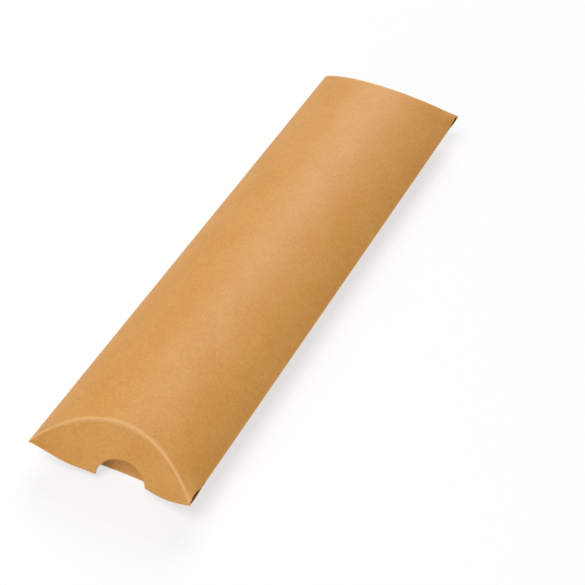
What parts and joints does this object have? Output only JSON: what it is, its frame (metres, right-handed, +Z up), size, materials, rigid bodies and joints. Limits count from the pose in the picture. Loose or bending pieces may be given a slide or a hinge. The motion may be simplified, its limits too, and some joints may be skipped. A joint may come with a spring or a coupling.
{
  "type": "pillow box",
  "caption": "Long pillow box of folded kraft card: bowed top and bottom panels, curved end creases, and folding end flaps, one with a thumb notch.",
  "frame": {"origin": "under the middle of the box, on the surface that it stands on", "axes": "+Z up, +Y along the box away from the end with the thumb notch, +X across it towards the glued seam"},
  "size_m": [0.0628, 0.246, 0.0259],
  "materials": {
    "kraft_card": "matte",
    "glue": "matte"
  },
  "bodies": {
    "case": {"top_panel": "kraft_card", "bottom_panel": "kraft_card", "seam_tab": "kraft_card", "seam_glue": "glue"},
    "near_outer_flap": {"near_outer_flap": "kraft_card"},
    "near_outer_flap_left_wing": {"near_outer_flap_left_wing": "kraft_card"},
    "near_outer_flap_right_wing": {"near_outer_flap_right_wing": "kraft_card"},
    "near_inner_flap": {"near_inner_flap": "kraft_card"},
    "far_outer_flap": {"far_outer_flap": "kraft_card"},
    "far_outer_flap_left_wing": {"far_outer_flap_left_wing": "kraft_card"},
    "far_outer_flap_right_wing": {"far_outer_flap_right_wing": "kraft_card"},
    "far_inner_flap": {"far_inner_flap": "kraft_card"}
  },
  "joints": [
    {"name": "near_outer_flap_fold", "type": "hinge", "parent": "case", "child": "near_outer_flap", "pos_m": [0, -0.111, 0.0259], "axis": [-1, 0, 0], "range_deg": [0, 73]},
    {"name": "near_outer_flap_left_wing_bend", "type": "hinge", "parent": "near_outer_flap", "child": "near_outer_flap_left_wing", "pos_m": [-0.0125, -0.11219, 0.0241], "axis": [0, -0.2924, -0.9563], "range_deg": [0, 38]},
    {"name": "near_outer_flap_right_wing_bend", "type": "hinge", "parent": "near_outer_flap", "child": "near_outer_flap_right_wing", "pos_m": [0.0125, -0.11219, 0.0241], "axis": [0, 0.2924, 0.9563], "range_deg": [0, 38]},
    {"name": "near_inner_flap_fold", "type": "hinge", "parent": "case", "child": "near_inner_flap", "pos_m": [0, -0.111, -0.0001], "axis": [1, 0, 0], "range_deg": [0, 17]},
    {"name": "far_outer_flap_fold", "type": "hinge", "parent": "case", "child": "far_outer_flap", "pos_m": [0, 0.111, 0.0259], "axis": [1, 0, 0], "range_deg": [0, 73]},
    {"name": "far_outer_flap_left_wing_bend", "type": "hinge", "parent": "far_outer_flap", "child": "far_outer_flap_left_wing", "pos_m": [-0.0125, 0.11219, 0.0241], "axis": [0, -0.2924, 0.9563], "range_deg": [0, 38]},
    {"name": "far_outer_flap_right_wing_bend", "type": "hinge", "parent": "far_outer_flap", "child": "far_outer_flap_right_wing", "pos_m": [0.0125, 0.11219, 0.0241], "axis": [0, 0.2924, -0.9563], "range_deg": [0, 38]},
    {"name": "far_inner_flap_fold", "type": "hinge", "parent": "case", "child": "far_inner_flap", "pos_m": [0, 0.111, -0.0001], "axis": [-1, 0, 0], "range_deg": [0, 17]}
  ],
  "couplings": [
    {"joint": "near_outer_flap_left_wing_bend", "follows": "near_outer_flap_fold", "ratio": 0.52},
    {"joint": "near_outer_flap_right_wing_bend", "follows": "near_outer_flap_fold", "ratio": 0.52},
    {"joint": "near_inner_flap_fold", "follows": "near_outer_flap_fold", "ratio": 0.22},
    {"joint": "far_outer_flap_left_wing_bend", "follows": "far_outer_flap_fold", "ratio": 0.52},
    {"joint": "far_outer_flap_right_wing_bend", "follows": "far_outer_flap_fold", "ratio": 0.52},
    {"joint": "far_inner_flap_fold", "follows": "far_outer_flap_fold", "ratio": 0.22}
  ]
}
